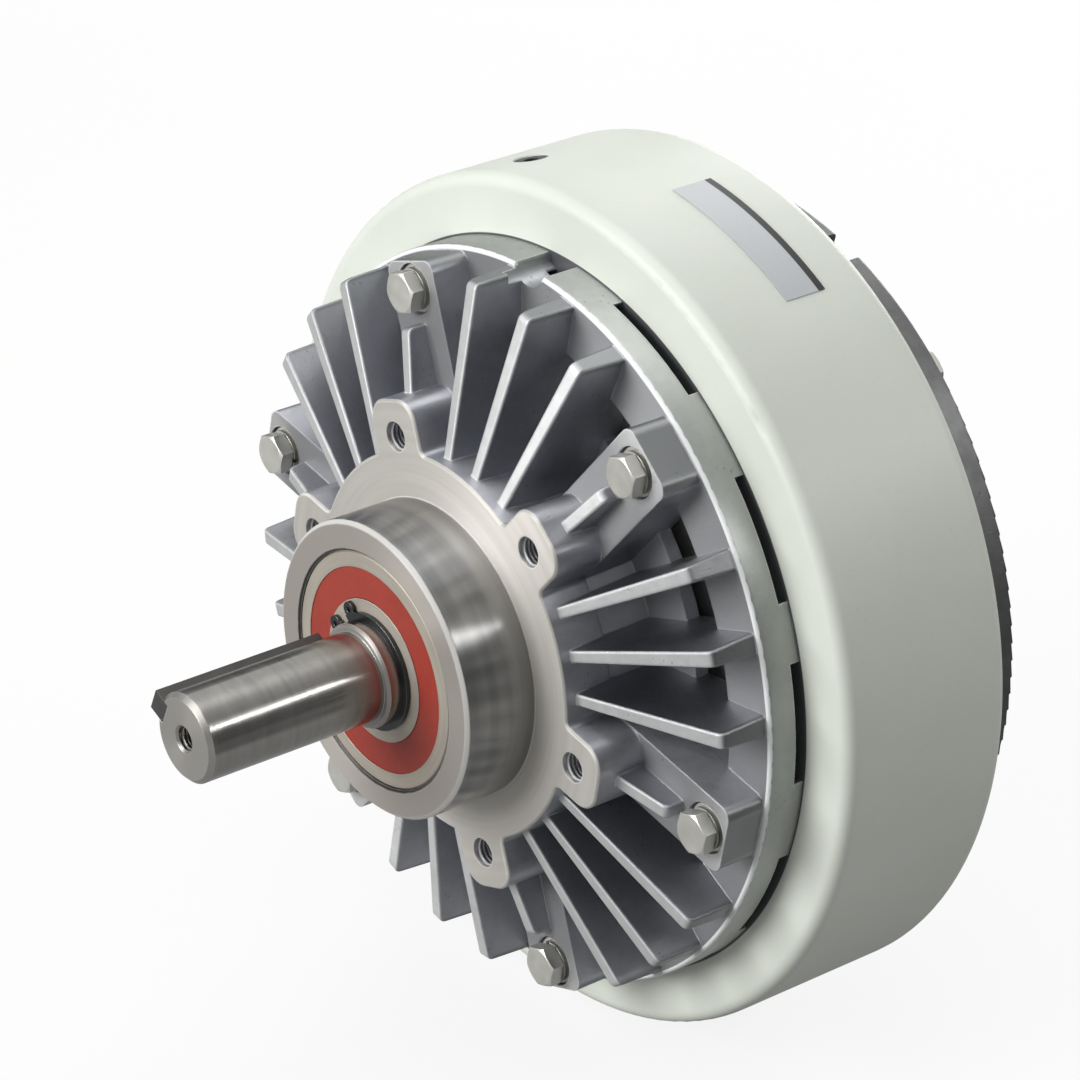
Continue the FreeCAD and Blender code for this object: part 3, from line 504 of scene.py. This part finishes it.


# Colour of the cap's cast skin, and how much each place is a bright edge. Painted light and shade: the fins'
# sides and floors darken with depth below the front edges, surfaces facing forward are lighter than the
# bluish sides, the crests' worn edges are also a painted highlight, and the rim's front corner is a painted
# highlight.
def cast_colour_and_painted_light(tree, zones, facing, skin, wear_and_highlight):
    # Painted shade: darker the deeper a place lies below the fins' front edges
    fronts = blend_colour(tree, zones["recess"], tint(214, 215, 215), tint(150, 151, 153))
    sides = blend_colour(tree, zones["rim wall"], tint(196, 198, 204), tint(152, 154, 156))
    # Painted light: forward-facing surfaces lighter, sides darker and bluish
    colour = blend_colour(tree, facing, sides, fronts)
    colour = blend_colour(tree, zones["inside rim"], tint(190, 193, 190), colour)
    clouds = spread(tree, skin["Tone"], *wide_fade, 0.0, cloud_strength)
    colour = blend_colour(tree, clouds, colour, tint(150, 151, 153))
    colour = blend_colour(tree, calc(tree, "MULTIPLY", skin["Pits"], pit_strength), colour, tint(80, 80, 84))
    # Worn crest edges, lightened as wear and as a painted highlight
    edges = product(tree, wear_and_highlight, zones["crest"])
    colour = blend_colour(tree, edges, colour, tint(244, 245, 246))
    # Painted highlight along the rim's front corner
    colour = blend_colour(tree, zones["rim corner"], colour, tint(250, 251, 252))
    return colour, calc(tree, "MAXIMUM", edges, zones["rim corner"])


# The same for the flange's face and the nose, which are turned. Painted light and shade: the nose's front
# face is lighter than its side, the gap round the bearing is darkened as painted shade, and the nose's
# chamfer and the worn edges carry a painted highlight.
def turned_colour_and_painted_light(tree, zones, facing, tone, wear_and_highlight):
    face = blend_colour(tree, spread(tree, tone, *narrow_fade), tint(207, 203, 196), tint(217, 213, 207))
    nose = blend_colour(tree, spread(tree, tone, *wide_fade), tint(150, 150, 149), tint(168, 167, 165))
    # Painted light: the nose's front face lighter than its side
    nose = blend_colour(tree, facing, nose, tint(178, 172, 165))
    # Painted shade in the gap round the bearing
    nose = blend_colour(tree, zones["bearing gap shade"], nose, tint(64, 60, 57))
    # Painted highlight on the nose's chamfer, and worn edges lightened as wear and as a painted highlight
    edges = calc(tree, "MAXIMUM", calc(tree, "MULTIPLY", wear_and_highlight, turned_edge_strength),
                 calc(tree, "MULTIPLY", zones["chamfer"], chamfer_highlight_strength))
    colour = blend_colour(tree, zones["spigot"], face, nose)
    return blend_colour(tree, edges, colour, tint(244, 243, 240)), edges


def cap_casting():
    material, tree, shader = new_finish("cast_aluminium")
    here = place(tree)
    skin = use(tree, cast_skin, Vector=here, Grain=1300.0)
    grooves = use(tree, turned_grooves, Vector=here, Fineness=1500.0)
    marks = use(tree, handling_marks, Vector=here, Size=35.0)
    rounded_edges = use(tree, edge_wear_and_highlight, Radius=0.9 * MM, Vector=here)
    zones = cap_zones(tree, here)
    facing = end_faces(tree)
    cast, cast_edges = cast_colour_and_painted_light(tree, zones, facing, skin, rounded_edges["Mask"])
    turned, turned_edges = turned_colour_and_painted_light(tree, zones, facing, grooves["Tone"], rounded_edges["Mask"])
    give(tree, shader["Base Color"], blend_colour(tree, zones["turned"], cast, turned))
    face_rough = blend_value(tree, zones["spigot"], 0.56, blend_value(tree, facing, 0.3, 0.42))
    give(tree, shader["Roughness"],
         blend_value(tree, zones["turned"], smudged(tree, marks, 0.4, 0.52), face_rough))
    metal = calc(tree, "MULTIPLY_ADD", facing, -cap_end_dullness, 1.0)
    edges = blend_value(tree, zones["turned"], cast_edges, turned_edges)
    give(tree, shader["Metallic"], calc(tree, "SUBTRACT", metal, edges, clamp=True))
    drawn_out(tree, shader, cap_anisotropy)
    cast_height = product(tree, skin["Height"], calc(tree, "SUBTRACT", 1.0, zones["turned"]))
    groove_height = calc(tree, "MULTIPLY", grooves["Height"], cap_groove_share)
    turned_height = product(tree, groove_height, zones["turned"])
    height = calc(tree, "ADD", cast_height, turned_height)
    give(tree, shader["Normal"], bump(tree, height, cap_skin_depth, rounded_edges["Normal"]))
    return material


def cream_paint():
    material, tree, shader = new_finish("cream_paint")
    here = place(tree)
    marks = use(tree, handling_marks, Vector=here, Size=14.0)
    rounded_edges = use(tree, edge_wear_and_highlight, Radius=0.8 * MM, Vector=here)
    peel = noise(tree, here, 420.0, 2.0)
    body = blend_colour(tree, smudged(tree, marks, 0.0, 1.0), tint(229, 234, 223), tint(234, 239, 229))
    body = blend_colour(tree, calc(tree, "MULTIPLY", marks["Dust"], 0.08), body, tint(180, 182, 170))
    # Bare dark metal behind the rim, also painted shade in the vent slots and a painted shade line at the
    # rim's foot
    bare_and_shaded = spread(tree, shaft_distance(tree, here), *bare_face_and_seam_shade_zone)
    give(tree, shader["Base Color"], blend_colour(tree, bare_and_shaded, body, tint(84, 85, 88)))
    give(tree, shader["Roughness"], smudged(tree, marks, 0.4, 0.5))
    shader["Coat Weight"].default_value = 0.1
    shader["Coat Roughness"].default_value = 0.3
    give(tree, shader["Normal"], bump(tree, peel, 0.04 * MM, rounded_edges["Normal"]))
    return material


def plate_foil():
    material, tree, shader = new_finish("plate_silver")
    here = place(tree)
    along = along_shaft(tree, here)
    band = spread(tree, along, *plate_band_zone)
    turn = calc(tree, "MULTIPLY", shaft_turn(tree, here), brush_arc)
    brushed = spread(tree, noise(tree, vector_of(tree, X=turn, Y=along), brush_fineness, 2.0), *narrow_fade)
    foil = blend_colour(tree, brushed, tint(190, 194, 197), tint(203, 206, 208))
    give(tree, shader["Base Color"], blend_colour(tree, band, foil, tint(44, 44, 46)))
    give(tree, shader["Metallic"], calc(tree, "MULTIPLY", calc(tree, "SUBTRACT", 1.0, band), 0.35))
    give(tree, shader["Roughness"], blend_value(tree, brushed, 0.38, 0.48))
    return material


def wound_copper():
    material, tree, shader = new_finish("copper_winding")
    here = place(tree)
    outwards = calc(tree, "ADD", along_shaft(tree, here), shaft_distance(tree, here))
    phase = calc(tree, "MULTIPLY", outwards, 2 * math.pi / wire_pitch)
    wire = calc(tree, "SINE", phase)
    # Painted shade and light: darker between the turns of wire, lighter on their crowns
    crown = spread(tree, wire, -1.0, 1.0)
    give(tree, shader["Base Color"], blend_colour(tree, crown, tint(120, 60, 30), tint(190, 108, 60)))
    give(tree, shader["Roughness"], blend_value(tree, crown, 0.45, 0.3))
    shader["Metallic"].default_value = 0.8
    flat = put(tree, "ShaderNodeNewGeometry").outputs["Normal"]
    give(tree, shader["Normal"], bump(tree, wire, 0.1 * MM, flat))
    return material


finishes = {
    "cast_aluminium": cap_casting(),
    "dark_cast_aluminium": plain_metal("dark_cast_aluminium", tint(124, 125, 124), 0.5, grain=1300.0,
                                       depth=0.1 * MM),
    "cream_paint": cream_paint(),
    "dark_steel": turned_metal("dark_steel", tint(128, 126, 122), 0.42),
    "brass_ring": turned_metal("brass_ring", tint(205, 178, 110), 0.35),
    "bobbin_plastic": soft_finish("bobbin_plastic", tint(222, 216, 200), 0.45),
    "copper_winding": wound_copper(),
    "black_rubber": soft_finish("black_rubber", tint(38, 38, 39), 0.6, sheen=0.1),
    "plate_silver": plate_foil(),
    "powder": soft_finish("powder", tint(90, 88, 86), 0.8, grain=2600.0, depth=0.1 * MM, contrast=0.3),
    "ground_steel": turned_metal("ground_steel", tint(166, 164, 160), 0.17, fineness=2600.0,
                                 groove=0.002 * MM, contrast=0.05, wear_and_highlight=1.6, edge=0.5 * MM, anisotropy=0.6,
                                 end_colour=tint(166, 163, 158)),
    "key_steel": plain_metal("key_steel", tint(86, 84, 82), 0.42),
    "rotor_steel": turned_metal("rotor_steel", tint(150, 149, 146), 0.35),
    "turned_steel": turned_metal("turned_steel", tint(170, 169, 165), 0.3),
    "black_steel": plain_metal("black_steel", tint(52, 52, 53), 0.4),
    # The circlip's edges are lightened strongly, partly as wear and partly as a painted highlight.
    "spring_steel": plain_metal("spring_steel", tint(76, 78, 78), 0.22, wear_and_highlight=2.5, edge=0.4 * MM,
                                end_dullness=0.1),
    "plate_aluminium": turned_metal("plate_aluminium", tint(186, 186, 184), 0.4, fineness=1500.0),
    "zinc_plated": plain_metal("zinc_plated", tint(212, 211, 204), 0.38, grain=700.0, depth=0.02 * MM),
    "bearing_steel": turned_metal("bearing_steel", tint(188, 180, 168), 0.36, fineness=3000.0,
                                  groove=0.003 * MM, contrast=0.06),
    "red_seal": soft_finish("red_seal", tint(162, 56, 42), 0.48, grain=1800.0, contrast=0.06),
    "ball_steel": turned_metal("ball_steel", tint(225, 225, 225), 0.08, fineness=3000.0,
                               groove=0.001 * MM, contrast=0.02),
    "cage_steel": plain_metal("cage_steel", tint(176, 170, 158), 0.35),
}

for name, piece in nodes.items():
    piece.data.materials.clear()
    piece.data.materials.append(finishes[slot_of[name]])


# Modelling helpers
def nothing_selected():
    if bpy.context.object and bpy.context.object.mode != "OBJECT":
        bpy.ops.object.mode_set(mode="OBJECT")
    bpy.ops.object.select_all(action="DESELECT")


def only(*pieces):
    nothing_selected()
    for piece in pieces:
        piece.select_set(True)
    bpy.context.view_layer.objects.active = pieces[0]


def place_in_mesh(piece):
    only(piece)
    bpy.ops.object.transform_apply(location=True, rotation=True, scale=True)


def apply_modifiers(piece):
    only(piece)
    for modifier in list(piece.modifiers):
        bpy.ops.object.modifier_apply(modifier=modifier.name)


def joined(pieces):
    only(*pieces)
    bpy.ops.object.join()
    return pieces[0]


def copy_at(piece, offset):
    made = piece.copy()
    made.data = piece.data.copy()
    bpy.context.scene.collection.objects.link(made)
    made.location = offset
    place_in_mesh(made)
    return made


def finish_piece(piece, name, body, slot):
    piece.name = name
    piece.data.name = name
    piece.data.materials.clear()
    piece.data.materials.append(finishes[slot])
    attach(piece, body)


# One helical ridge on the Y axis, from its mouth at y = 0 inwards: a triangle that points at the axis, wound
# into a helix and closed at both ends. A triangle of radius 1 is 1.5 high and the root of 3 wide.
def thread_ridge(hole_radius, pitch, length):
    height = thread_height_share * pitch
    width = thread_width_share * pitch
    nothing_selected()
    bpy.ops.mesh.primitive_circle_add(
        vertices=3, radius=1.0, location=(0, 0, hole_radius - thread_clearance - height / 3),
        rotation=(math.radians(-90), 0, math.radians(-90)))
    ridge = bpy.context.object
    ridge.scale = (width / math.sqrt(3), height / 1.5, 1)
    place_in_mesh(ridge)
    winding = ridge.modifiers.new("helix", "SCREW")
    winding.axis = "Y"
    winding.angle = 2 * math.pi
    winding.screw_offset = pitch
    winding.iterations = int(length / pitch)
    winding.steps = thread_steps
    winding.render_steps = thread_steps
    apply_modifiers(ridge)
    bpy.ops.object.mode_set(mode="EDIT")
    bpy.ops.mesh.select_all(action="DESELECT")
    bpy.ops.mesh.select_non_manifold(extend=False)
    bpy.ops.mesh.fill()
    bpy.ops.mesh.select_all(action="SELECT")
    bpy.ops.mesh.normals_make_consistent(inside=False)
    bpy.ops.object.mode_set(mode="OBJECT")
    ridge.location.y = -min(vertex.co.y for vertex in ridge.data.vertices)
    place_in_mesh(ridge)
    return ridge


def make_lug_threads():
    master = thread_ridge(lug_hole_radius, lug_thread_pitch, lug_thread_length)
    ridges = []
    for index in range(lug_count):
        angle = lug_angle + index * 2 * math.pi / lug_count
        mouth = (lug_circle * math.sin(angle), lug_thread_start, lug_circle * math.cos(angle))
        ridges.append(copy_at(master, mouth))
    bpy.data.objects.remove(master)
    finish_piece(joined(ridges), "lug_hole_threads", "housing", "cast_aluminium")


def make_centre_thread():
    ridge = thread_ridge(centre_hole_radius, centre_thread_pitch, centre_thread_length)
    ridge.location.y = shaft_end + centre_thread_start
    place_in_mesh(ridge)
    finish_piece(ridge, "shaft_centre_thread", "rotor", "ground_steel")


make_lug_threads()
make_centre_thread()


# Studio
# The floor is a pale, plain surface that takes the shadow. Its glow, by kind of ray, shows it nearly white.
def floor_finish():
    material, tree, shader = new_finish("pale_floor")
    here = place(tree)
    rays = put(tree, "ShaderNodeLightPath").outputs
    pale = blend_colour(tree, spread(tree, noise(tree, here, 3.0, 2.0), 0.3, 0.7),
                        tint(243, 243, 242), tint(246, 246, 245))
    tone = blend_colour(tree, rays["Is Glossy Ray"], tint(124, 124, 123), tint(104, 104, 104))
    give(tree, shader["Base Color"], blend_colour(tree, rays["Is Camera Ray"], tone, pale))
    shader["Roughness"].default_value = 0.9
    reflected = spread(tree, dot(tree, here, dark_floor_side), *dark_floor_fade, *floor_reflected)
    seen = calc(tree, "MAXIMUM", rays["Is Camera Ray"], rays["Is Transmission Ray"])
    share = calc(tree, "MAXIMUM", calc(tree, "MULTIPLY", seen, floor_camera_glow),
                 product(tree, rays["Is Glossy Ray"], reflected))
    glow = put(tree, "ShaderNodeEmission", {"Color": WHITE, "Strength": 1.0}).outputs[0]
    lit = tree.nodes["Principled BSDF"].outputs[0]
    blend = put(tree, "ShaderNodeMixShader", {0: share, 1: lit, 2: glow})
    tree.links.new(blend.outputs[0], tree.nodes["Material Output"].inputs["Surface"])
    return material


def make_floor():
    nothing_selected()
    bpy.ops.mesh.primitive_plane_add(size=floor_size, location=(0, 0, cad_low.z - floor_gap))
    floor = bpy.context.object
    floor.name = "floor"
    floor.data.materials.append(floor_finish())


def make_lamp(name, place_at, power, width, height):
    data = bpy.data.lights.new(name, "AREA")
    data.shape = "ELLIPSE" if width == height else "RECTANGLE"
    data.size = width
    data.size_y = height
    data.energy = power
    lamp = bpy.data.objects.new(name, data)
    lamp.location = place_at
    lamp.rotation_euler = (-Vector(place_at)).to_track_quat("-Z", "Y").to_euler()
    bpy.context.scene.collection.objects.link(lamp)


# The surround lights the object softly, and is white where the camera sees it.
def make_surround():
    world = bpy.data.worlds.new("studio")
    bpy.context.scene.world = world
    world.use_nodes = True
    tree = world.node_tree
    tree.nodes.clear()
    rays = put(tree, "ShaderNodeLightPath").outputs
    direction = put(tree, "ShaderNodeTexCoord").outputs["Generated"]
    reflected = spread(tree, dot(tree, direction, bright_side), *bright_side_fade, *surround_reflected)
    height = parts_of(tree, direction)["Z"]
    reflected = blend_value(tree, spread(tree, height, *horizon_fade), horizon_reflected, reflected)
    seen = calc(tree, "MAXIMUM", rays["Is Camera Ray"], rays["Is Transmission Ray"])
    strength = blend_value(tree, rays["Is Glossy Ray"], surround_light, reflected)
    strength = blend_value(tree, seen, strength, 1.0)
    sky = put(tree, "ShaderNodeBackground", {"Color": WHITE, "Strength": strength})
    tree.links.new(sky.outputs[0], put(tree, "ShaderNodeOutputWorld").inputs["Surface"])


def make_camera():
    data = bpy.data.cameras.new("camera")
    data.lens = camera_lens
    data.sensor_width = camera_sensor
    data.clip_start, data.clip_end = camera_reach
    camera = bpy.data.objects.new("camera", data)
    camera.location = camera_place
    camera.rotation_euler = (math.radians(90) - camera_elevation, 0.0, camera_azimuth)
    bpy.context.scene.collection.objects.link(camera)
    bpy.context.scene.camera = camera


make_floor()
for name, (place_at, power, width, height) in lamps.items():
    make_lamp(name, place_at, power, width, height)
make_surround()
make_camera()
bpy.context.scene.view_settings.view_transform = "Standard"
